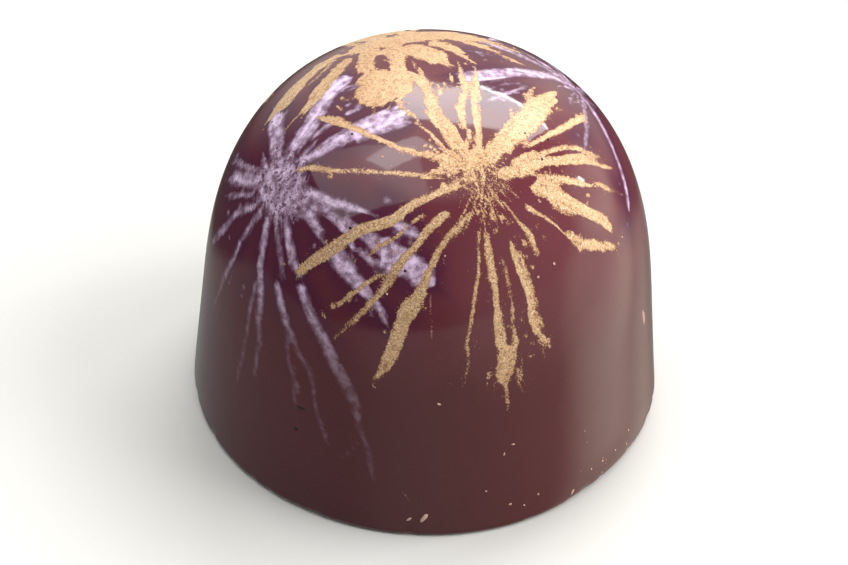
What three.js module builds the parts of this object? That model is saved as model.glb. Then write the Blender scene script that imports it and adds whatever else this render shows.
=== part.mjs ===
// A moulded chocolate bonbon: a tall dome on a drafted wall, closed flat underneath.
// One solid of revolution whose lower rim is a little uneven, as the scraped closing leaves it.
// Millimetres, +Z up, origin at the middle of the flat base. The decorated front faces -Y.
import * as THREE from "three";

// Driving dimensions
const BASE_DIAMETER = 30; // where the wall's line meets the table, outside the rounded rim
const HEIGHT = 22.5;
const WALL_HEIGHT = 8; // the straight wall, from the table up to where the dome begins
const WALL_DRAFT = THREE.MathUtils.degToRad(7); // lean of the wall, which lets it leave the mould
const DOME_FULLNESS = 2.8; // exponent of the dome's superellipse: 2 is an ellipse, more is squarer
const RIM_ROUNDING = 0.35; // radius of the small round between the wall and the base

// The rim's unevenness
const RIM_WAVE_DEPTH = 0.05; // how far the rim wanders in and out
const RIM_WAVE_HEIGHT = 3; // how far up the wall that fades out
const RIM_WAVE_REACH = 0.5; // how far in from the edge of the base's flat it begins
const RIM_WAVES = [3, 5, 8]; // waves round the rim, each half as deep as the one before
const WORN_DEPTH = 0.22; // the worn stretch of the rim, towards the front right
const WORN_DIRECTION = THREE.MathUtils.degToRad(-43);
const WORN_HALF_WIDTH = THREE.MathUtils.degToRad(16);

// How finely the solid is faceted
const STEPS_ROUND = 80;
const STEPS_UP_WALL = 6;
const STEPS_UP_DOME = 20;
const STEPS_ON_RIM = 4;
const STEPS_ON_BASE = 2;

const baseRadius = BASE_DIAMETER / 2;
const domeHeight = HEIGHT - WALL_HEIGHT;

// Radius of the leaning wall's line at a height. The dome is this line closed in by a superellipse,
// so that it leaves the wall without a crease.
const leaningRadius = (height) => baseRadius - height * Math.tan(WALL_DRAFT);

// Radius of the base's flat, inside the rounded rim that touches both the table and the wall's line.
const flatRadius = baseRadius - RIM_ROUNDING * (Math.tan(WALL_DRAFT) + 1 / Math.cos(WALL_DRAFT));

// Half the section, from the middle of the base out to the rim and up to the crown.
function section() {
  const points = [];
  for (let i = 0; i <= STEPS_ON_BASE; i++) {
    points.push(new THREE.Vector2((flatRadius * i) / STEPS_ON_BASE, 0));
  }
  for (let i = 1; i <= STEPS_ON_RIM; i++) {
    const turn = ((Math.PI / 2 + WALL_DRAFT) * i) / STEPS_ON_RIM;
    const out = flatRadius + RIM_ROUNDING * Math.sin(turn);
    const up = RIM_ROUNDING * (1 - Math.cos(turn));
    points.push(new THREE.Vector2(out, up));
  }
  const wallFoot = points[points.length - 1];
  for (let i = 1; i <= STEPS_UP_WALL; i++) {
    const share = i / STEPS_UP_WALL;
    const up = THREE.MathUtils.lerp(wallFoot.y, WALL_HEIGHT, share);
    points.push(new THREE.Vector2(leaningRadius(up), up));
  }
  for (let i = 1; i <= STEPS_UP_DOME; i++) {
    const turn = ((Math.PI / 2) * i) / STEPS_UP_DOME;
    const up = WALL_HEIGHT + domeHeight * Math.sin(turn) ** (2 / DOME_FULLNESS);
    const closing = i === STEPS_UP_DOME ? 0 : Math.cos(turn) ** (2 / DOME_FULLNESS);
    points.push(new THREE.Vector2(leaningRadius(up) * closing, up));
  }
  return points;
}

// How far the rim stands out at a direction round the axis: waves, less the worn stretch.
function rimOffset(direction) {
  let offset = 0;
  RIM_WAVES.forEach((waves, k) => {
    offset += (RIM_WAVE_DEPTH / 2 ** k) * Math.sin(waves * direction + k);
  });
  const away = Math.atan2(Math.sin(direction - WORN_DIRECTION), Math.cos(direction - WORN_DIRECTION));
  return offset - WORN_DEPTH * Math.exp(-((away / WORN_HALF_WIDTH) ** 2));
}

// Moves the lower wall in and out by the rim's offset, fading out with height.
function unevenRim(geometry) {
  const place = geometry.attributes.position;
  for (let i = 0; i < place.count; i++) {
    const radius = Math.hypot(place.getX(i), place.getY(i));
    if (radius < flatRadius - RIM_WAVE_REACH) continue;
    const direction = Math.atan2(place.getY(i), place.getX(i));
    const fade = Math.max(0, 1 - place.getZ(i) / RIM_WAVE_HEIGHT) ** 2;
    const grown = 1 + (rimOffset(direction) * fade) / radius;
    place.setXY(i, place.getX(i) * grown, place.getY(i) * grown);
  }
  return geometry;
}

function bonbonSolid() {
  const turned = new THREE.LatheGeometry(section(), STEPS_ROUND);
  turned.rotateX(Math.PI / 2);
  return unevenRim(turned);
}

const chocolate = new THREE.MeshStandardMaterial({ color: "#4a2024", roughness: 0.15, metalness: 0 });

const bonbon = new THREE.Mesh(bonbonSolid(), chocolate);
bonbon.name = "bonbon";

const part = new THREE.Group();
part.name = "chocolate_bonbon";
part.add(bonbon);

export default part;
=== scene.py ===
import math
import random
from collections import namedtuple

import bmesh
import bpy
import numpy as np
from mathutils import Matrix, Vector, noise
from mathutils.bvhtree import BVHTree


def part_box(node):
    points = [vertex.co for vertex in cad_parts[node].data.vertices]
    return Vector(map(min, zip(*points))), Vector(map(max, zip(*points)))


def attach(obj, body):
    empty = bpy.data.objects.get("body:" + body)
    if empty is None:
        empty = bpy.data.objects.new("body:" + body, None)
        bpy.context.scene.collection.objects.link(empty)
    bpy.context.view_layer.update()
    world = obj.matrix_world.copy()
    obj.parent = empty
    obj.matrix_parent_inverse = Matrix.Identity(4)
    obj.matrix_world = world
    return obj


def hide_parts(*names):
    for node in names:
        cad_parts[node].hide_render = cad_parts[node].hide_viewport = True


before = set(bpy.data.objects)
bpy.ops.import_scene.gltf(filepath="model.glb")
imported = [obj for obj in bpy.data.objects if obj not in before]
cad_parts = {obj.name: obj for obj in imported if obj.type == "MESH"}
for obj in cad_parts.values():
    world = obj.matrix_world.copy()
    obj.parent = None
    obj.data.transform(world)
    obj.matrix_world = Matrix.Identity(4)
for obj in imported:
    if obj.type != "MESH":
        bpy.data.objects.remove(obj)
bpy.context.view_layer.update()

# The view
# The bonbon stands at the origin and the camera looks down on its decorated front.
# Lengths are in millimetres until they reach Blender, which works in metres.
MM = 0.001
PHOTO_WIDTH = 848
PHOTO_HEIGHT = 565
VIEW_ELEVATION = math.radians(38.44)
VIEW_DISTANCE = 120
VIEW_ROLL = math.radians(2.01)
AIM_TO_THE_RIGHT = -0.22
AIM_UPWARDS = -3.15
FOCAL_PIXELS = 1947.1
SENSOR_WIDTH = 36
NEAREST_SEEN = 10

low_corner, high_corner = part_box("bonbon")
height = (high_corner.z - low_corner.z) / MM
middle = Vector((0, 0, height / 2))
level_look = Vector((0, math.cos(VIEW_ELEVATION), -math.sin(VIEW_ELEVATION)))
level_up = Vector((0, math.sin(VIEW_ELEVATION), math.cos(VIEW_ELEVATION)))
eye = middle - VIEW_DISTANCE * level_look
aim = middle + Vector((AIM_TO_THE_RIGHT, 0, 0)) + AIM_UPWARDS * level_up
look = (aim - eye).normalized()
flat_right = look.cross(Vector((0, 0, 1))).normalized()
flat_up = flat_right.cross(look)
right = math.cos(VIEW_ROLL) * flat_right + math.sin(VIEW_ROLL) * flat_up
up = math.cos(VIEW_ROLL) * flat_up - math.sin(VIEW_ROLL) * flat_right

camera = bpy.data.objects.new("camera", bpy.data.cameras.new("camera"))
camera.data.sensor_width = SENSOR_WIDTH
camera.data.lens = SENSOR_WIDTH * FOCAL_PIXELS / PHOTO_WIDTH
camera.data.clip_start = NEAREST_SEEN * MM
for column, axis in enumerate((right, up, -look, eye * MM)):
    for row in range(3):
        camera.matrix_world[row][column] = axis[row]
bpy.context.scene.collection.objects.link(camera)
bpy.context.scene.camera = camera

# The moulded body
# A shell of dark chocolate cast in a polished dome mould, filled, and closed with a scraped layer.
# Its wall leans inwards so that it leaves the mould, and the closing leaves the rim a little uneven.
BASE_RADIUS = 15
WALL_HEIGHT = 8
WALL_DRAFT = math.radians(7)
DOME_FULLNESS = 2.8
RIM_ROUNDING = 0.35
RIM_WAVE_DEPTH = 0.05
RIM_WAVE_HEIGHT = 3
RIM_WAVE_REACH = 0.5
RIM_WAVES = (3, 5, 8)
WORN_DEPTH = 0.22
WORN_DIRECTION = math.radians(-43)
WORN_HALF_WIDTH = math.radians(16)
CHIP_COUNT = 30
CHIP_SEED = 7
CHIP_DEPTH = (0.04, 0.13)
CHIP_HALF_WIDTH = (0.25, 0.7)
CHIP_HEIGHT = (0.3, 0.9)
CASTING_WAVE = 0.012
CASTING_WAVELENGTH = 5.0
CASTING_WAVE_START = 0.25
STEPS_ROUND = 480
FINER_IN_FRONT = 0.35
DOME_AND_WALL_RINGS = 180
RIM_RINGS = 6
BASE_RINGS = 8
FINE_STEPS = 4000
MAP_MIDDLE = 0.5
MAP_RADIUS = 0.45
MAP_BASE_RADIUS = 0.1
MAP_BASE_MIDDLE = 0.895

even_turns = np.linspace(0, 2 * math.pi, STEPS_ROUND, endpoint=False)
directions = even_turns - FINER_IN_FRONT * np.cos(even_turns)
flat_radius = BASE_RADIUS - RIM_ROUNDING * (math.tan(WALL_DRAFT) + 1 / math.cos(WALL_DRAFT))
rim_top = RIM_ROUNDING * (1 + math.sin(WALL_DRAFT))


def dome_radius(level):
    """Radius of the wall and the dome: the wall's leaning line, closed in by a superellipse."""
    climb = np.clip((level - WALL_HEIGHT) / (height - WALL_HEIGHT), 0, 1)
    leaning = BASE_RADIUS - level * math.tan(WALL_DRAFT)
    return leaning * (1 - climb**DOME_FULLNESS) ** (1 / DOME_FULLNESS)


def section():
    """Radius and height of each ring, from just below the crown to just outside the base's middle."""
    turn = np.linspace(math.pi / 2, 0, FINE_STEPS)
    dome_levels = WALL_HEIGHT + (height - WALL_HEIGHT) * np.sin(turn) ** (2 / DOME_FULLNESS)
    levels = np.concatenate([dome_levels, np.linspace(WALL_HEIGHT, rim_top, FINE_STEPS)[1:]])
    radii = dome_radius(levels)
    run = np.concatenate([[0], np.cumsum(np.hypot(np.diff(radii), np.diff(levels)))])
    even = np.linspace(0, run[-1], DOME_AND_WALL_RINGS + 1)[1:]
    rim_turn = (math.pi / 2 + WALL_DRAFT) * np.arange(RIM_RINGS - 1, -1, -1) / RIM_RINGS
    base = flat_radius * np.arange(BASE_RINGS - 1, 0, -1) / BASE_RINGS
    rim_radii = flat_radius + RIM_ROUNDING * np.sin(rim_turn)
    rim_levels = RIM_ROUNDING * (1 - np.cos(rim_turn))
    return (
        np.concatenate([np.interp(even, run, radii), rim_radii, base]),
        np.concatenate([np.interp(even, run, levels), rim_levels, 0 * base]),
    )


def angle_between(direction, other):
    """The turn from one direction to another, the short way round."""
    return np.arctan2(np.sin(direction - other), np.cos(direction - other))


def rim_offset(direction):
    """How far the rim stands out at a direction: waves, less the worn stretch."""
    offset = 0
    for order, waves in enumerate(RIM_WAVES):
        offset = offset + RIM_WAVE_DEPTH / 2**order * np.sin(waves * direction + order)
    away = angle_between(direction, WORN_DIRECTION)
    return offset - WORN_DEPTH * np.exp(-((away / WORN_HALF_WIDTH) ** 2))


def chipping(direction, level):
    """How far small chips along the rim bite into it."""
    draw = random.Random(CHIP_SEED)
    deepest = 0
    for number in range(CHIP_COUNT):
        middle_of_chip = draw.uniform(-math.pi, math.pi)
        depth = draw.uniform(*CHIP_DEPTH)
        aside = angle_between(direction, middle_of_chip) * BASE_RADIUS / draw.uniform(*CHIP_HALF_WIDTH)
        above = level / draw.uniform(*CHIP_HEIGHT)
        deepest = np.maximum(deepest, depth * np.clip(1 - aside**2, 0, 1) * np.clip(1 - above, 0, 1))
    return deepest


def body_points():
    """The body's vertices, ring by ring, with the crown first and the middle of the base last."""
    radius, level = (numbers[:, None] for numbers in section())
    direction = directions[None, :]
    fade = np.clip(1 - level / RIM_WAVE_HEIGHT, 0, 1) ** 2
    near_rim = radius > flat_radius - RIM_WAVE_REACH
    out = radius + (rim_offset(direction) * fade - chipping(direction, level)) * near_rim
    rings = np.stack([out * np.cos(direction), out * np.sin(direction), level + 0 * out], axis=-1)
    points = np.concatenate([[(0, 0, height)], rings.reshape(-1, 3), [(0, 0, 0)]])
    for spot in points:
        if spot[2] > 0:
            sunk = (1 - noise.noise(spot / CASTING_WAVELENGTH)) * min(1, spot[2] / CASTING_WAVE_START)
            spot *= 1 - CASTING_WAVE * sunk / np.linalg.norm(spot)
    return points


def body_faces(ring_count):
    """The body's faces: a fan at the crown, bands between the rings, a fan in the base."""
    faces = []
    inner = 1 + (ring_count - 1) * STEPS_ROUND
    last = inner + STEPS_ROUND
    for step in range(STEPS_ROUND):
        following = (step + 1) % STEPS_ROUND
        faces.append((0, 1 + step, 1 + following))
        for upper in range(1, inner, STEPS_ROUND):
            lower = upper + STEPS_ROUND
            faces.append((upper + step, lower + step, lower + following, upper + following))
        faces.append((inner + step, last, inner + following))
    return faces


def disc_map(centre, spread):
    """Places on the texture map for all vertices, each ring as wide as its spread about a centre."""
    across = centre + spread * np.cos(directions)
    upward = centre + spread * np.sin(directions)
    discs = np.stack([across.ravel(), upward.ravel()], axis=-1)
    return np.concatenate([[(centre, centre)], discs, [(centre, centre)]])


def unrolled(faces, ring_count):
    """Each corner's place on the texture map: a disc for the dome and wall, a small one for the base."""
    outer_rings = DOME_AND_WALL_RINGS + RIM_RINGS
    rings = np.arange(1, ring_count + 1)[:, None]
    outer = disc_map(MAP_MIDDLE, MAP_RADIUS * rings / outer_rings)
    inward = (ring_count + 1 - rings) / (ring_count + 1 - outer_rings)
    base = disc_map(MAP_BASE_MIDDLE, MAP_BASE_RADIUS * inward)
    corners = np.array([corner for face in faces for corner in face])
    in_base = [max(face) > outer_rings * STEPS_ROUND for face in faces]
    base_corner = np.repeat(in_base, [len(face) for face in faces])
    return np.where(base_corner[:, None], base[corners], outer[corners])


spots = body_points()
ring_count = (len(spots) - 2) // STEPS_ROUND
faces = body_faces(ring_count)
body_tree = BVHTree.FromPolygons([Vector(spot) for spot in spots], faces)
body_mesh = bpy.data.meshes.new("bonbon_body")
body_mesh.from_pydata(spots * MM, [], faces)
body_mesh.polygons.foreach_set("use_smooth", [True] * len(faces))
body_mesh.uv_layers.new(name="OFBake").data.foreach_set("uv", unrolled(faces, ring_count).ravel())
body = bpy.data.objects.new("bonbon_body", body_mesh)
bpy.context.scene.collection.objects.link(body)

# The blown bursts
# Drops of coloured cocoa butter are set in the mould and blown outwards with air before the casting.
# They come out flush with the chocolate: a core where the drop lay, and rays thrown out from it.
Ray = namedtuple("Ray", "route widths")
Burst = namedtuple("Burst", "centre reach rays drops")
HEART = Vector((0, 0, 9))
OUTSIDE = -5.0
DEEPEST_DIP = 9.0
TIP_LENGTH = 0.7
ROOT_LENGTH = 0.25
THROW_JITTER = 0.35
THROW_START = (0.6, 2.4)
THROW_ROOT_SHARE = 0.6
THROW_TIP_SHARE = (0.4, 1.1)
SPLINTER_BACK = (0.3, 1.4)
SPLINTER_LENGTH = (0.5, 1.3)
SPLINTER_SWAY = 0.2
SPLINTER_WIDTH = (0.12, 0.26)
SPLINTER_TIP_WIDTH = 0.06
SPATTER_ALONG = (0.2, 1.15)
SPATTER_SPREAD = 0.6
STREAK_WAVES = (19, 31, 47, 67, 89)
STREAK_GAIN = 1.6
STIR = ((0.45, 0.25), (2.0, 0.06))
STIR_SEED = 3


def sighted(pixel):
    """The place on the body that a pixel of the photograph shows, and the way out from it, if any."""
    aside = pixel[0] - PHOTO_WIDTH / 2
    below = pixel[1] - PHOTO_HEIGHT / 2
    sight = FOCAL_PIXELS * look + aside * right - below * up
    return body_tree.ray_cast(eye, sight.normalized())[:2]


def on_body(pixel):
    """The place on the body, in millimetres, that a pixel of the photograph shows."""
    place = sighted(pixel)[0]
    if place is None:
        raise ValueError(f"pixel {pixel} misses the body")
    return place


def shown(widths, *pixels):
    """A ray that the photograph shows: its widths in millimetres and the pixels that it runs through."""
    return Ray([on_body(pixel) for pixel in pixels], widths)


def above_heart(point):
    """The place on the body straight out from its heart through a point."""
    return body_tree.ray_cast(HEART, (point - HEART).normalized())[0]


def axes_at(centre):
    """Two directions along the body at a place: to its side, and up over it."""
    outward = (centre - HEART).normalized()
    side = outward.cross(Vector((0, 0, 1))).normalized()
    return side, side.cross(outward)


def thrown(draw, centre, count, lengths, widths, starts=THROW_START, turns=(0, 2 * math.pi)):
    """Rays thrown out evenly from a centre, but unequal in length and width."""
    side, over = axes_at(centre)
    first_turn, last_turn = turns
    rays = []
    for number in range(count):
        uneven = number + draw.uniform(-THROW_JITTER, THROW_JITTER)
        turn = first_turn + (last_turn - first_turn) * uneven / count
        throw = math.cos(turn) * side + math.sin(turn) * over
        length = draw.uniform(*lengths)
        width = draw.uniform(*widths)
        start = draw.uniform(*starts)
        route = [above_heart(centre + throw * run) for run in (start, (start + length) / 2, length)]
        rays.append(Ray(route, (THROW_ROOT_SHARE * width, width, width * draw.uniform(*THROW_TIP_SHARE))))
    return rays


def splinters(draw, rays, count):
    """Short thin rays that split off near the tips of others."""
    split = []
    for ray in rays:
        before, tip = ray.route[-2:]
        along = (tip - before).normalized()
        across = along.cross(tip - HEART).normalized()
        for number in range(count):
            aside = draw.uniform(-0.5, 0.5) * ray.widths[-1]
            start = tip - along * draw.uniform(*SPLINTER_BACK) + across * aside
            length = draw.uniform(*SPLINTER_LENGTH)
            sway = draw.uniform(-SPLINTER_SWAY, SPLINTER_SWAY)
            end = start + along * length + across * (aside + sway)
            widths = (draw.uniform(*SPLINTER_WIDTH), SPLINTER_TIP_WIDTH)
            split.append(Ray([above_heart(start), above_heart(end)], widths))
    return split


def spatter(draw, rays, count, radii):
    """Fine drops flung along rays and a little past their tips."""
    drops = []
    for ray in rays:
        start, tip = ray.route[0], ray.route[-1]
        across = (tip - start).cross(tip - HEART).normalized()
        for number in range(count):
            share = draw.uniform(*SPATTER_ALONG)
            landing = start + (tip - start) * share + across * draw.gauss(0, SPATTER_SPREAD)
            drops.append((above_heart(landing), draw.uniform(*radii)))
    return drops


def streaks(places, centre, draw):
    """Streaks that run outwards from a centre, from about minus one to one."""
    side, over = axes_at(centre)
    offset = places - np.array(centre)
    turn = np.arctan2(offset @ np.array(over), offset @ np.array(side))
    run = np.linalg.norm(offset, axis=1)
    total = 0
    for waves in STREAK_WAVES:
        total = total + np.sin(waves * turn + draw.uniform(0, 6) + run * draw.uniform(-1, 1))
    return total * STREAK_GAIN / len(STREAK_WAVES)


def ray_depth(places, ray, fray):
    """How far inside a ray each place lies, in millimetres, less than nought outside."""
    deepest = np.full(len(places), OUTSIDE)
    last = len(ray.route) - 2
    for step in range(last + 1):
        start, tip = (np.array(point) for point in ray.route[step : step + 2])
        root, end = ray.widths[step : step + 2]
        run = tip - start
        length = np.linalg.norm(run)
        inward = np.array(HEART) - start
        side = np.cross(run, inward)
        along = (places - start) @ (run / length)
        across = np.abs((places - start) @ (side / np.linalg.norm(side)))
        half = (root + (end - root) * np.clip(along / length, 0, 1)) / 2
        begun = along + (0 if step == 0 else root)
        left = length - along + (fray if step == last else end)
        rounded = np.sqrt(np.clip(np.minimum(begun / ROOT_LENGTH, left / TIP_LENGTH), 0, 1))
        beyond = np.minimum(np.minimum(begun, left), 0)
        depth = half * rounded - across + beyond
        dip = (places - start) @ (inward / np.linalg.norm(inward))
        deepest = np.maximum(deepest, np.where(dip < DEEPEST_DIP, depth, OUTSIDE))
    return deepest


def drop_depth(places, point, radius):
    """How far inside a round drop each place lies."""
    return radius - np.linalg.norm(places - np.array(point), axis=1)


def burst_depth(places, burst, draw, fray, ragged):
    """How far inside a burst each place lies."""
    streak = streaks(places, burst.centre, draw)
    deepest = np.full(len(places), OUTSIDE)
    for ray in burst.rays:
        deepest = np.maximum(deepest, ray_depth(places, ray, streak * fray))
    deepest += ragged * streak
    for point, radius in burst.drops:
        deepest = np.maximum(deepest, drop_depth(places, point, radius))
    away = np.linalg.norm(places - np.array(burst.centre), axis=1)
    return np.where(away < burst.reach, deepest, OUTSIDE)


def stirred(places):
    """The places, moved about a little, so that straight rays come out wavering."""
    noise.seed_set(STIR_SEED)
    moved = places.copy()
    for per_mm, by in STIR:
        moved += by * np.array([noise.noise_vector(place) for place in (places * per_mm).tolist()])
    return moved


def keep(name, numbers):
    """Stores a number for each of the body's vertices."""
    body_mesh.attributes.new(name, "FLOAT", "POINT").data.foreach_set("value", numbers)


def keep_bursts(name, bursts, draw, fray, ragged):
    """Stores for each of the body's vertices how far inside a burst it lies, and that burst's streaks."""
    depths = np.array([burst_depth(stirred_spots, burst, draw, fray, ragged) for burst in bursts])
    nearest = np.argmax(depths, axis=0)
    streak = np.array([streaks(stirred_spots, burst.centre, draw) for burst in bursts])
    keep(name + "_depth", np.max(depths, axis=0))
    keep(name + "_streak", np.take_along_axis(streak, nearest[None, :], axis=0)[0])


stirred_spots = stirred(spots)


class Shade:
    """A socket of a material or of the room. Expressions on it add Math or Vector Math nodes there."""

    tree = None

    def __init__(self, socket):
        self.socket = socket

    @classmethod
    def node(cls, kind, settings, sockets, output=0):
        """Adds a node: its type, its settings, and the values or links of its sockets."""
        made = cls.tree.nodes.new("ShaderNode" + kind)
        for name, value in settings.items():
            setattr(made, name, value)
        for name, value in sockets.items():
            if isinstance(value, Shade):
                cls.tree.links.new(value.socket, made.inputs[name])
            else:
                made.inputs[name].default_value = value
        return cls(made.outputs[output]) if made.outputs else None

    @classmethod
    def maths(cls, operation, *terms):
        """A Math node, or a Vector Math node if the first term is a vector."""
        vector = isinstance(terms[0], Shade) and terms[0].socket.type == "VECTOR"
        kind = "VectorMath" if vector else "Math"
        return cls.node(kind, {"operation": operation}, dict(enumerate(terms)))

    def __add__(self, other):
        return self.maths("ADD", self, other)

    def __radd__(self, other):
        return self.maths("ADD", other, self)

    def __sub__(self, other):
        return self.maths("SUBTRACT", self, other)

    def __rsub__(self, other):
        return self.maths("SUBTRACT", other, self)

    def __mul__(self, other):
        return self.maths("MULTIPLY", self, other)

    def __rmul__(self, other):
        return self.maths("MULTIPLY", other, self)

    def at_most(self, other):
        return self.maths("MINIMUM", self, other)

    def at_least(self, other):
        return self.maths("MAXIMUM", self, other)

    def part(self, axis):
        return self.node("SeparateXYZ", {}, {0: self}, output=axis)

    def distance(self, point):
        return self.node("VectorMath", {"operation": "DISTANCE"}, {0: self, 1: point}, output="Value")

    def step(self, low, high):
        """Nought below low, one above high, and a smooth rise between."""
        limits = {"Value": self, "From Min": low, "From Max": high}
        return self.node("MapRange", {"interpolation_type": "SMOOTHSTEP"}, limits)

    def mottle(self, per_mm, detail):
        """Noise about nought, of a given fineness over a place in millimetres."""
        return self.node("TexNoise", {}, {"Vector": self, "Scale": per_mm, "Detail": detail}) - 0.5


def srgb(red, green, blue):
    """A colour as it looks on a screen, 0 to 255, made linear for a shader."""
    linear = []
    for channel in (red, green, blue):
        share = channel / 255
        linear.append(share / 12.92 if share < 0.04045 else ((share + 0.055) / 1.055) ** 2.4)
    return (*linear, 1)


def blended(share, under, over):
    """One colour over another by a share from nought to one."""
    return Shade.node("Mix", {"data_type": "RGBA"}, {0: share, 6: under, 7: over}, output=2)


def kept(name):
    """A number that was stored on the body's vertices."""
    return Shade.node("Attribute", {"attribute_name": name}, {}, output="Fac")


chocolate = bpy.data.materials.new("cast_chocolate")
chocolate.use_nodes = True
chocolate.node_tree.nodes.clear()
Shade.tree = chocolate.node_tree
place = Shade.node("TexCoord", {}, {}, output="Object") * ((1 / MM,) * 3)
level = place.part("Z")

# The gold bursts
# Gold cocoa butter, pearly and a little grainy, blown first and so lying outermost.
# One large burst opens on the front of the dome, one spills over the crown, and one is at the back.
GOLD_FLECK = srgb(240, 217, 183)
GOLD = srgb(206, 167, 126)
GOLD_DEEP = srgb(150, 104, 68)
GOLD_BARE = srgb(92, 52, 42)
GOLD_DROPS = (0.05, 0.13)
GOLD_SEED = 21
gold_draw = random.Random(GOLD_SEED)
front_centre = on_body((482, 177))
front_rays = [
    shown((0.9, 0.9, 0.6), (462, 150), (438, 118), (415, 72)),
    shown((0.12, 0.3), (436, 95), (449, 79)),
    shown((0.35, 0.5, 0.5, 0.45), (463, 130), (461, 104), (464, 84), (460, 74)),
    shown((0.4, 0.45, 0.45, 0.5), (478, 152), (477, 122), (473, 103), (476, 72)),
    shown((0.8, 1.3, 1.55, 1.1), (480, 160), (513, 136), (537, 112), (555, 97)),
    shown((0.35, 0.5, 0.4), (524, 148), (555, 132), (582, 118)),
    shown((0.3, 0.4), (507, 130), (521, 108)),
    shown((0.3, 0.45), (529, 102), (535, 92)),
    shown((0.3, 0.9, 1.2, 0.6), (497, 176), (512, 170), (530, 163), (548, 157)),
    shown((0.4, 0.35, 0.5, 0.4), (540, 155), (560, 149), (580, 149), (597, 153)),
    shown((0.7, 0.6, 0.6, 0.4), (540, 161), (560, 161), (582, 158), (601, 160)),
    shown(
        (0.5, 1.0, 1.1, 0.8, 0.55, 0.3),
        (530, 186), (550, 190), (567, 202), (588, 214), (608, 228), (617, 244),
    ),
    shown((0.3, 0.6, 0.5, 0.3), (542, 182), (560, 181), (575, 182), (586, 185)),
    shown((0.15, 0.35, 0.2), (592, 183), (603, 187), (612, 192)),
    shown((0.1, 0.12), (530, 175), (548, 178)),
    shown((0.4, 0.5, 0.5, 0.3), (567, 233), (585, 245), (605, 249), (619, 244)),
    shown((0.45, 0.35, 0.1), (525, 206), (536, 211), (548, 217)),
    shown(
        (0.25, 0.1, 0.12, 0.3, 0.4, 0.15),
        (505, 203), (512, 211), (518, 222), (526, 231), (532, 241), (535, 251),
    ),
    shown((0.2, 0.15), (521, 241), (529, 247)),
    shown((0.4, 0.4, 0.55, 0.7), (455, 160), (400, 147), (352, 128), (325, 118)),
    shown((0.3, 0.15, 0.12), (446, 148), (424, 128), (408, 112)),
    shown((0.35, 0.3, 0.3, 0.5), (455, 172), (400, 174), (345, 171), (299, 170)),
    shown((0.5, 0.55, 0.7, 0.85), (460, 184), (395, 217), (346, 243), (297, 269)),
    shown((0.15, 0.2, 0.12), (428, 217), (405, 224), (366, 263)),
    shown((0.12, 0.25, 0.1), (386, 270), (350, 295), (329, 307)),
    shown(
        (0.45, 0.5, 0.45, 0.4, 0.3, 0.15),
        (450, 213), (422, 240), (395, 272), (377, 298), (362, 312), (345, 329),
    ),
    shown(
        (0.35, 0.35, 0.45, 0.95, 1.0, 0.7, 0.3),
        (469, 211), (441, 252), (428, 278), (408, 313), (397, 338), (385, 363), (374, 379),
    ),
    shown(
        (0.2, 0.35, 0.25, 0.2, 0.22, 0.08),
        (481, 226), (475, 278), (473, 297), (471, 320), (468, 345), (469, 373),
    ),
    shown(
        (0.3, 0.5, 0.42, 0.48, 0.55, 0.6),
        (489, 234), (491, 258), (495, 292), (498, 320), (500, 345), (503, 366),
    ),
    shown(
        (0.15, 0.3, 0.3, 0.35, 0.5, 0.6),
        (505, 258), (508, 277), (512, 303), (514, 330), (515, 346), (512, 366),
    ),
    shown((1.0, 1.2, 0.7, 0.3, 0.1), (507, 356), (507, 366), (508, 375), (509, 388), (510, 400)),
    shown((0.3, 0.1), (497, 368), (492, 381)),
    shown((0.3, 0.1), (518, 367), (522, 382)),
    shown((0.25, 0.4, 0.52, 0.55, 0.5), (513, 243), (522, 268), (527, 287), (533, 313), (537, 335)),
    shown((0.25, 0.1), (537, 333), (546, 342)),
    shown((0.3, 0.1), (537, 333), (542, 350)),
    shown((0.1, 0.1), (522, 250), (527, 268)),
    shown((0.3, 0.14, 0.1), (486, 202), (484, 210), (483, 222)),
    shown((0.12, 0.12), (480, 210), (501, 218)),
    shown((0.25, 0.3, 0.1), (479, 163), (482, 175), (483, 188)),
]
front_core = thrown(gold_draw, on_body((463, 157)), 18, (0.9, 2.0), (0.2, 0.7), (0, 0.2))
front_core += thrown(gold_draw, front_centre, 26, (1.0, 3.2), (0.08, 0.2), (0.5, 1.2))
front_gold = Burst(
    centre=front_centre,
    reach=21,
    rays=front_rays + front_core + splinters(gold_draw, front_rays, 4),
    drops=spatter(gold_draw, front_rays, 5, GOLD_DROPS),
)
crown_centre = on_body((402, 44))
crown_rays = [
    shown((0.6, 1.0, 1.3, 0.7), (340, 54), (313, 71), (288, 97), (268, 124)),
    shown((0.7, 0.9, 1.0, 0.25), (348, 57), (333, 76), (317, 95), (297, 121)),
    shown((0.15, 0.2, 0.1), (336, 58), (322, 72), (311, 84)),
    shown((1.4, 1.4, 1.0), (404, 42), (370, 46), (346, 53)),
    shown((1.2, 1.1), (369, 46), (365, 75)),
    shown((1.2, 1.0, 1.1, 0.6), (396, 46), (398, 66), (403, 82), (396, 104)),
    shown((1.5, 1.5, 0.25), (404, 46), (427, 54), (452, 67)),
    shown((1.0, 0.8, 0.2), (430, 42), (457, 51), (474, 62)),
    shown((0.8, 0.6, 0.2), (450, 38), (485, 47), (509, 57)),
    shown((0.6, 0.3), (475, 39), (516, 51)),
    shown((0.9, 0.9), (372, 52), (393, 52)),
    shown((0.5, 0.12), (373, 95), (373, 108)),
    shown((0.6, 0.15), (390, 95), (397, 107)),
    shown((0.4, 0.1), (363, 92), (361, 101)),
    shown((1.3, 1.8, 1.8, 1.2), (352, 50), (392, 40), (440, 35), (490, 41)),
    *thrown(gold_draw, crown_centre, 5, (4, 10), (0.5, 1.3), turns=(1.4 * math.pi, 1.75 * math.pi)),
]
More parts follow.
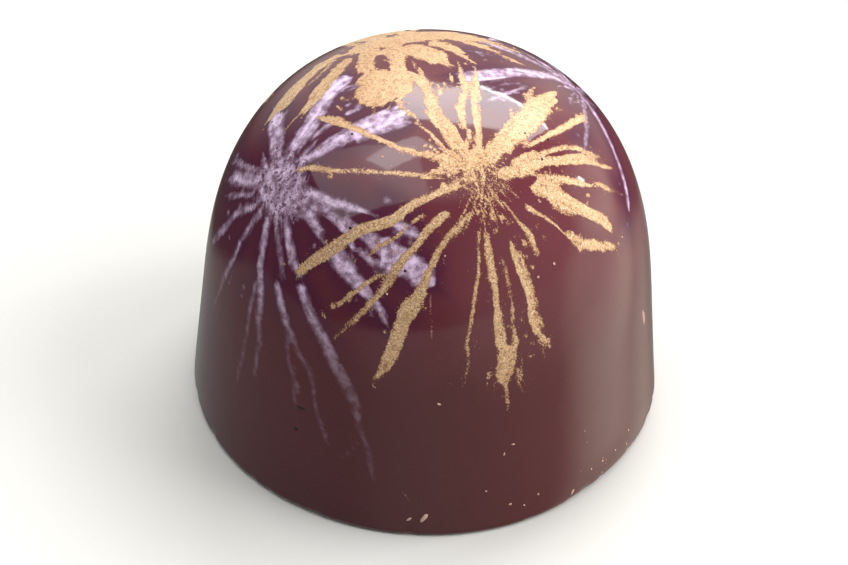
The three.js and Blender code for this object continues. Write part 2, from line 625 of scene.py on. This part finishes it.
crown_core = thrown(gold_draw, crown_centre, 9, (0.8, 1.6), (0.2, 0.5), (0, 0.3), (math.pi, 2 * math.pi))
crown_blob = [(on_body((378, 81)), 1.25), (on_body((377, 91)), 1.3), (on_body((392, 86)), 1.15)]
crown_gold = Burst(
    centre=crown_centre,
    reach=16,
    rays=crown_rays + crown_core + splinters(gold_draw, crown_rays, 2),
    drops=spatter(gold_draw, crown_rays, 5, GOLD_DROPS) + crown_blob,
)
back_gold_centre = above_heart(HEART + Vector((-0.62, 0.9, 0.62)))
back_gold_rays = thrown(gold_draw, back_gold_centre, 19, (5, 13), (0.3, 1.2))
back_gold_core = thrown(gold_draw, back_gold_centre, 22, (1.2, 3.2), (0.2, 0.8), (0, 0.3))
back_gold = Burst(
    centre=back_gold_centre,
    reach=18,
    rays=back_gold_rays + back_gold_core + splinters(gold_draw, back_gold_rays, 4),
    drops=spatter(gold_draw, back_gold_rays, 7, GOLD_DROPS),
)
keep_bursts("gold", (front_gold, crown_gold, back_gold), gold_draw, fray=0.9, ragged=0.07)

# Where the gold lies: inside the rays, with a grainy edge, and as dust beside them.
gold_depth = kept("gold_depth")
gold_grain = place.mottle(11, 2)
gold_streak = kept("gold_streak")
gold_low = 1 - level.step(9, 17)
# Near the crown, where the gold's colour is deeper.
gold_near_crown = level.step(20.8, 22.2)
gold_film = gold_depth.at_most(0.4) + gold_grain * 0.36 + place.mottle(2.4, 3) * 0.2 + gold_streak * 0.06
gold_blown = 1 - place.distance(front_centre).step(0.3, 3.2)
gold_dust = (place.mottle(14, 1) + gold_depth.at_most(0) * 0.28 + gold_blown * 0.15).step(0.185, 0.21)
gold_cover = (gold_film - gold_low * 0.03).step(-0.03, 0.05).at_least(gold_dust)

# Its colour: bright flecks, deeper at the edges and in patches, with specks where chocolate shows.
# Low on the wall the flecks thin out and the deep patches grow: painted shade that darkens the lower
# gold.
# Near the crown the colour is deeper as well.
gold_tone = (place.mottle(7, 3) + gold_streak * 0.06).step(-0.2, 0.1)
gold_flecks = place.mottle(13, 2).step(0.0, 0.16) * (1 - gold_low * 0.4 - gold_near_crown * 0.6)
gold_edge = 1 - gold_film.step(0.0, 0.14)
# Random deep patches, grown low on the wall as painted shade.
gold_patch_and_low_shade = place.mottle(1.7, 3).step(-0.02, 0.2) * (gold_low * 0.35 + 0.2)
gold_specks = place.mottle(8, 3) - gold_streak * 0.03 + gold_low * 0.05 + gold_edge * 0.04
gold_colour = blended(gold_tone, GOLD_DEEP, GOLD)
gold_colour = blended(gold_flecks, gold_colour, GOLD_FLECK)
gold_colour = blended(gold_edge * 0.45 + gold_patch_and_low_shade + gold_near_crown * 0.15, gold_colour, GOLD_DEEP)
gold_colour = blended(gold_specks.step(0.13, 0.2) * 0.85, gold_colour, GOLD_BARE)

# The lilac bursts
# Lilac cocoa butter, thinner and milky, blown after the gold and so lying under it.
# One burst opens on the left of the dome and runs far down the wall, one is on the right,
# and one is at the back.
LILAC = srgb(230, 204, 236)
# Dark purple painted shade round the lilac.
PAINTED_LILAC_SHADE = srgb(58, 20, 54)
LILAC_DROPS = (0.05, 0.15)
LILAC_SEED = 5
lilac_draw = random.Random(LILAC_SEED)
left_centre = on_body((280, 184))
left_rays = [
    shown((1.2, 1.5), (279, 172), (278, 110)),
    shown((1.0, 1.0, 1.4, 1.6), (286, 164), (310, 125), (334, 89), (354, 81)),
    shown((0.4, 0.45), (346, 114), (362, 107)),
    shown((0.35, 0.3), (306, 140), (336, 121)),
    shown((0.9, 1.0, 1.4, 1.7), (296, 166), (340, 140), (371, 126), (410, 112)),
    shown((0.9, 0.65, 0.5), (292, 188), (335, 202), (369, 214)),
    shown((0.8, 0.55, 0.7, 0.5), (296, 196), (330, 213), (350, 229), (355, 257)),
    shown((0.5, 0.6), (388, 221), (421, 238)),
    shown((0.5, 0.6, 1.2, 1.7, 0.6), (343, 221), (366, 237), (395, 255), (411, 268), (424, 275)),
    shown((0.3, 0.5), (359, 252), (394, 272)),
    shown((0.8, 0.7, 0.3), (299, 205), (313, 221), (328, 246)),
    shown((0.7, 1.05, 0.95, 0.6, 0.25), (329, 252), (345, 266), (360, 285), (378, 308), (392, 329)),
    shown((0.35, 0.65, 0.4), (284, 207), (290, 246), (301, 283)),
    shown((0.7, 0.75, 0.85, 0.5, 0.1), (301, 285), (319, 331), (342, 378), (358, 415), (375, 480)),
    shown(
        (0.4, 0.7, 0.6, 0.5, 0.4, 0.1),
        (277, 281), (283, 312), (289, 331), (297, 351), (310, 372), (326, 440),
    ),
    shown((0.35, 0.25, 0.3, 0.1), (288, 329), (289, 361), (294, 378), (297, 411)),
    shown((0.6, 0.6), (294, 378), (300, 393)),
    shown((0.6, 0.4, 0.3, 0.2), (273, 204), (276, 227), (281, 256), (284, 284)),
    shown((0.6, 0.55, 0.6, 0.35, 0.3), (269, 206), (262, 250), (260, 290), (259, 344), (253, 379)),
    shown((0.3, 0.3, 0.4), (256, 281), (249, 325), (238, 378)),
    shown((0.5, 0.4, 0.4, 0.2), (261, 209), (245, 236), (230, 266), (214, 308)),
    shown((0.5, 0.5, 0.5), (256, 205), (233, 218), (211, 246)),
    shown((0.35, 0.35), (254, 195), (226, 198)),
    shown((1.2, 1.0, 0.7), (262, 182), (245, 178), (228, 180)),
    shown((0.3, 0.4), (258, 170), (232, 160)),
]
left_lilac = Burst(
    centre=left_centre,
    reach=22,
    rays=left_rays + thrown(lilac_draw, left_centre, 26, (1.5, 3.6), (0.2, 0.6), (0, 0.5)),
    drops=spatter(lilac_draw, left_rays, 3, LILAC_DROPS) + [(left_centre, 1.7)],
)
right_centre = on_body((578, 92))
right_rays = [
    shown((0.6, 0.8, 1.0, 1.3, 0.8), (572, 86), (545, 75), (510, 72), (482, 75), (458, 78)),
    shown((0.2, 0.25), (527, 87), (483, 104)),
    shown((0.12, 0.15), (520, 84), (495, 86)),
    shown((0.35, 0.2), (581, 93), (584, 147)),
    shown((0.5, 0.45, 0.5), (579, 92), (607, 136), (629, 210)),
    shown((0.5, 0.3), (575, 90), (543, 67)),
    shown((0.15, 0.12), (468, 51), (496, 55)),
    shown((0.5, 0.6), (568, 98), (574, 101)),
    *thrown(lilac_draw, right_centre, 6, (4, 11), (0.3, 0.9), turns=(0.75 * math.pi, 1.3 * math.pi)),
]
right_lilac = Burst(
    centre=right_centre,
    reach=16,
    rays=right_rays + thrown(lilac_draw, right_centre, 14, (0.8, 2.0), (0.15, 0.5), (0, 0.3)),
    drops=spatter(lilac_draw, right_rays, 3, LILAC_DROPS),
)
back_lilac_centre = above_heart(HEART + Vector((0.35, 1.1, 0.42)))
back_lilac_rays = thrown(lilac_draw, back_lilac_centre, 18, (5, 14), (0.3, 1.1))
back_lilac = Burst(
    centre=back_lilac_centre,
    reach=18,
    rays=back_lilac_rays + thrown(lilac_draw, back_lilac_centre, 26, (1.5, 3.6), (0.2, 0.7), (0, 0.5)),
    drops=spatter(lilac_draw, back_lilac_rays, 3, LILAC_DROPS),
)
keep_bursts("lilac", (left_lilac, right_lilac, back_lilac), lilac_draw, fray=0.5, ragged=0.08)

# Where the lilac lies: a milky film of uneven thickness, torn at its core and thin on the wall,
# with a dark purple tint round it on the dome, which is painted shade.
lilac_depth = kept("lilac_depth")
lilac_streak = kept("lilac_streak")
lilac_film = lilac_depth + place.mottle(9, 3) * 0.2 + place.mottle(2.6, 3) * 0.3
lilac_milk = place.mottle(2.0, 4) + lilac_streak * 0.09 + place.mottle(13, 2) * 0.35
lilac_core = 1 - place.distance(left_centre).step(1.5, 4.5)
lilac_gaps = lilac_core * place.mottle(4.0, 3).step(-0.02, 0.12)
lilac_thick = (lilac_milk.step(-0.2, 0.24) * 0.8 + 0.2) * (1 - lilac_gaps * 0.85)
lilac_thin = level.step(10, 17) * 0.83 + 0.17
lilac_cover = lilac_film.step(-0.13, 0.3) * lilac_thick * lilac_thin
# Painted shade: a dark purple tint round the lilac, on the dome only.
lilac_painted_shade = lilac_depth.step(-1.8, 0.2) * level.step(10, 15)

# The wear
# Small marks from unmoulding and handling: a nick and a pit low on the left, pale scuffs,
# and pinholes where air lay against the mould. The nick, the pit and the pinholes are painted near-black,
# which is painted shade in their hollows.
NICK_DEPTH = 0.1
NICK_SLOPE = 0.1
PIT_RADIUS = 0.16
PINHOLE_CORE = 0.06
PINHOLE_RADIUS = 0.1
SCUFF = srgb(196, 150, 140)
# Near-black painted shade for the nick, the pit and the pinholes.
HOLE_SHADE = srgb(34, 14, 16)
nick = shown((0.12, 0.24, 0.1), (293, 405), (301, 408), (309, 411))
pit = on_body((296, 429))
scuffs = [
    shown((0.2, 0.5, 0.2), (642, 309), (644, 318), (645, 327)),
    shown((0.12, 0.14), (485, 278), (501, 278)),
    shown((0.08, 0.1), (430, 290), (432, 345)),
    shown((0.04, 0.1, 0.04), (400, 488), (405, 495), (412, 503)),
]
pinholes = [
    (272, 122), (277, 148), (525, 133), (548, 139),
    (350, 228), (405, 271), (352, 134), (542, 159),
]
nick_depth = np.maximum(ray_depth(spots, nick, 0), drop_depth(spots, pit, PIT_RADIUS))
keep("nick_depth", nick_depth)
keep("scuff_depth", np.max([ray_depth(spots, scuff, 0) for scuff in scuffs], axis=0))
sunk = NICK_DEPTH * np.clip(nick_depth / NICK_SLOPE, 0, 1)[:, None]
dented = spots * (1 - sunk / BASE_RADIUS)
body_mesh.vertices.foreach_set("co", (dented * MM).ravel())
# Painted shade: near-black in the nick, the pit and the pinholes.
painted_hole_shade = kept("nick_depth").step(-0.02, 0.06)
for pinhole in pinholes:
    away = place.distance(on_body(pinhole))
    painted_hole_shade = painted_hole_shade.at_least(1 - away.step(PINHOLE_CORE, PINHOLE_RADIUS))
scuffed = (kept("scuff_depth") + place.mottle(8, 2) * 0.2).step(-0.02, 0.08) * 0.6

# The bare chocolate and the closing
# Deep red-brown tempered chocolate with the mould's polish, clouded a little by handling.
# The base is the closing layer, scraped flat, of plain dark chocolate without the polish.
DOME = srgb(96, 45, 54)
# A darker copy of the dome's chocolate colour, for painted shade on the wall.
SHADED_WALL = srgb(80, 36, 41)
CLOSING = srgb(58, 34, 27)
RIPPLE_HEIGHT = 0.02
# Painted shade: the chocolate turns to the darker wall copy lower down, with a mottled change.
bare = blended((level * 0.1 + place.mottle(0.5, 3) * 0.4).step(0.95, 1.75), SHADED_WALL, DOME)
coloured = blended(lilac_painted_shade * 0.6, bare, PAINTED_LILAC_SHADE)
coloured = blended(lilac_cover, coloured, LILAC)
coloured = blended(gold_cover, coloured, gold_colour)
coloured = blended(scuffed, coloured, SCUFF)
coloured = blended(painted_hole_shade, coloured, HOLE_SHADE)
closing = 1 - level.step(0.05, 0.2)
coloured = blended(closing, coloured, CLOSING)
gloss = place.mottle(0.35, 3).step(-0.2, 0.25) * 0.06 + (1 - level.step(6, 12)) * 0.09 + 0.04
roughness = gloss + gold_cover * 0.32 + closing * 0.3
ripple = place.mottle(1.2, 2) * 0.4 + gold_cover * gold_grain * 0.6
bumped = Shade.node("Bump", {}, {"Strength": 0.5, "Distance": RIPPLE_HEIGHT * MM, "Height": ripple})
surface = Shade.node(
    "BsdfPrincipled",
    {},
    {
        "Base Color": coloured,
        "Roughness": roughness,
        "Metallic": gold_cover * 0.2,
        "Specular IOR Level": 0.42,
        "Normal": bumped,
    },
)
Shade.node("OutputMaterial", {}, {"Surface": surface})
body.data.materials.append(chocolate)
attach(body, "root")
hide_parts("bonbon")

# The crumbs
# Pale crumbs and flakes of cocoa butter that stick to the wall where the bonbon was set down.
# They are a fraction of a millimetre across, pressed on, and most lie low on the front and the right.
Crumb = namedtuple("Crumb", "pixel length width")
CRUMB = srgb(200, 164, 150)
CRUMB_HEIGHT = 0.1
CRUMB_SUNK = 0.4
CRUMB_UNEVEN = 0.5
CRUMB_LUMPS = 3
CRUMB_LOWEST = 0.5
CRUMB_SEED = 11
SPECK_COUNT = 10
SPECKS_ACROSS = (575, 635)
SPECKS_DOWN = (430, 480)
SPECK_LENGTH = (0.06, 0.12)
SPECK_WIDTH = (0.05, 0.08)
shown_crumbs = [
    Crumb((424, 518), 0.7, 0.25),
    Crumb((409, 519), 0.35, 0.16),
    Crumb((572, 492), 0.45, 0.18),
    Crumb((510, 504), 0.18, 0.12),
    Crumb((524, 505), 0.14, 0.1),
    Crumb((538, 494), 0.16, 0.1),
    Crumb((486, 491), 0.14, 0.1),
    Crumb((504, 454), 0.2, 0.1),
    Crumb((513, 444), 0.22, 0.08),
    Crumb((439, 404), 0.24, 0.14),
    Crumb((602, 461), 0.2, 0.14),
    Crumb((591, 469), 0.14, 0.1),
    Crumb((615, 450), 0.14, 0.1),
    Crumb((626, 444), 0.2, 0.14),
    Crumb((628, 430), 0.14, 0.1),
    Crumb((554, 264), 0.16, 0.14),
    Crumb((538, 277), 0.16, 0.12),
    Crumb((445, 256), 0.12, 0.1),
    Crumb((387, 294), 0.14, 0.1),
]
crumb_draw = random.Random(CRUMB_SEED)
specks = []
for number in range(SPECK_COUNT):
    pixel = (crumb_draw.uniform(*SPECKS_ACROSS), crumb_draw.uniform(*SPECKS_DOWN))
    length = crumb_draw.uniform(*SPECK_LENGTH)
    specks.append(Crumb(pixel, length, crumb_draw.uniform(*SPECK_WIDTH)))


def crumb_mesh(lying_crumbs):
    """Crumbs as one mesh: small uneven lumps, flat on the body and turned at random.

    A speck that comes out beside the body or down on its rim is left out.
    """
    lumps = bmesh.new()
    for crumb in lying_crumbs:
        seat, outward = sighted(crumb.pixel)
        if seat is None or seat.z < CRUMB_LOWEST:
            continue
        made = bmesh.ops.create_icosphere(lumps, subdivisions=2, radius=0.5)["verts"]
        turn = Matrix.Rotation(crumb_draw.uniform(0, math.pi), 3, "Z")
        stand = outward.to_track_quat("Z", "Y").to_matrix()
        for vertex in made:
            uneven = 1 + CRUMB_UNEVEN * noise.noise(vertex.co * CRUMB_LUMPS + seat)
            size = Vector((crumb.length, crumb.width, CRUMB_HEIGHT)) * uneven
            lying = turn @ Vector(a * b for a, b in zip(vertex.co, size))
            lying.z += CRUMB_HEIGHT * (0.5 - CRUMB_SUNK)
            vertex.co = (seat + stand @ lying) * MM
    mesh = bpy.data.meshes.new("crumbs")
    lumps.to_mesh(mesh)
    lumps.free()
    return mesh


crumbs = bpy.data.objects.new("crumbs", crumb_mesh(shown_crumbs + specks))
crumbs.data.polygons.foreach_set("use_smooth", [True] * len(crumbs.data.polygons))
bpy.context.scene.collection.objects.link(crumbs)
crumb_paint = bpy.data.materials.new("crumb")
crumb_paint.use_nodes = True
crumb_surface = crumb_paint.node_tree.nodes["Principled BSDF"]
crumb_surface.inputs["Base Color"].default_value = CRUMB
crumb_surface.inputs["Roughness"].default_value = 0.6
crumbs.data.materials.append(crumb_paint)
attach(crumbs, "root")

# The floor and the light
# A plain pale floor in a dim room. Soft boxes hang behind, overhead and on the left, with a small lamp
# and a soft fill on the right, and the room glows where the gloss shows its windows and walls.
# The gloss shows the dim room instead of the floor.
FLOOR_HALF = 3.0
FLOOR = srgb(205, 204, 202)
ROOM_DIM = 0.06
SOFT_BOX_AWAY = 1.5
COOL = (0.93, 1.0, 0.97, 1)
WARM = (1.0, 0.93, 0.79, 1)
floor_mesh = bpy.data.meshes.new("floor")
floor_signs = ((-1, -1), (1, -1), (1, 1), (-1, 1))
floor_corners = [(x * FLOOR_HALF, y * FLOOR_HALF, 0) for x, y in floor_signs]
floor_mesh.from_pydata(floor_corners, [], [(0, 1, 2, 3)])
floor = bpy.data.objects.new("floor", floor_mesh)
bpy.context.scene.collection.objects.link(floor)
floor_paint = bpy.data.materials.new("pale_floor")
floor_paint.use_nodes = True
floor_surface = floor_paint.node_tree.nodes["Principled BSDF"]
floor_surface.inputs["Base Color"].default_value = FLOOR
floor_surface.inputs["Roughness"].default_value = 0.9
floor_surface.inputs["Specular IOR Level"].default_value = 0.1
floor_mesh.materials.append(floor_paint)
floor.visible_glossy = False

world = bpy.data.worlds.new("studio")
bpy.context.scene.world = world
world.use_nodes = True
Shade.tree = world.node_tree
direction = Shade.node("TexCoord", {}, {}, output="Generated")


def toward(azimuth, elevation):
    """A direction, by its angle from +X round the axis and its angle up from the floor, in degrees."""
    turn = math.radians(azimuth)
    climb = math.radians(elevation)
    outward = math.cos(climb)
    return Vector((outward * math.cos(turn), outward * math.sin(turn), math.sin(climb)))


def glow(azimuth, elevation, full, end, radiance):
    """A round glow of the room, by its direction and the angles at which it starts to fade and ends."""
    sockets = {0: direction, 1: toward(azimuth, elevation)}
    facing = Shade.node("VectorMath", {"operation": "DOT_PRODUCT"}, sockets, output="Value")
    return facing.step(math.cos(math.radians(end)), math.cos(math.radians(full))) * radiance


horizon = direction.part("X") * 0.12 - direction.part("Y").at_least(0) * 0.6 - direction.part("Z")
below_horizon = horizon.step(0.03, 0.11) * (0.25 + glow(-85, -8, 12, 45, 0.25))
far_window = glow(20, 11, 4, 24, 1.7)
window = glow(6, -14, 14, 32, 1.05)
beside_window = glow(-35, 8, 12, 52, 0.5)
right_floor = glow(18, -40, 15, 36, 0.5)
zenith = glow(70, 80, 22, 36, 1.1)
shoulder_haze = glow(50, 14, 8, 30, 0.8)
back_wall = glow(95, 28, 20, 55, 0.9)
strength = ROOM_DIM + below_horizon + far_window + window + beside_window + right_floor
strength = strength + zenith + shoulder_haze + back_wall
tint = blended(direction.part("X").step(-0.6, 0.6), COOL, WARM)
room = world.node_tree.nodes["Background"]
world.node_tree.links.new(tint.socket, room.inputs["Color"])
world.node_tree.links.new(strength.socket, room.inputs["Strength"])


def soft_box(name, azimuth, elevation, wide, tall, radiance):
    """A rectangular soft light, by its direction, its spread in degrees and its brightness."""
    light = bpy.data.objects.new(name, bpy.data.lights.new(name, "AREA"))
    light.data.shape = "RECTANGLE"
    light.data.size = 2 * SOFT_BOX_AWAY * math.tan(math.radians(wide / 2))
    light.data.size_y = 2 * SOFT_BOX_AWAY * math.tan(math.radians(tall / 2))
    light.data.energy = radiance * math.pi * light.data.size * light.data.size_y
    light.location = toward(azimuth, elevation) * SOFT_BOX_AWAY
    light.rotation_euler = toward(azimuth, elevation).to_track_quat("Z", "Y").to_euler()
    bpy.context.scene.collection.objects.link(light)
    return light


soft_box("key", 70, 46, 40, 17, 8)
soft_box("key_edge", 65, 37, 32, 1.4, 18)
soft_box("lamp", 19, 19, 4, 4, 22)
soft_box("overhead", 130, 73, 26, 12, 4)
soft_box("ceiling", 188, 62, 42, 50, 1.7)
fill = soft_box("fill", 0, 36, 40, 40, 7)
fill.visible_glossy = False

bpy.context.scene.view_settings.view_transform = "Standard"
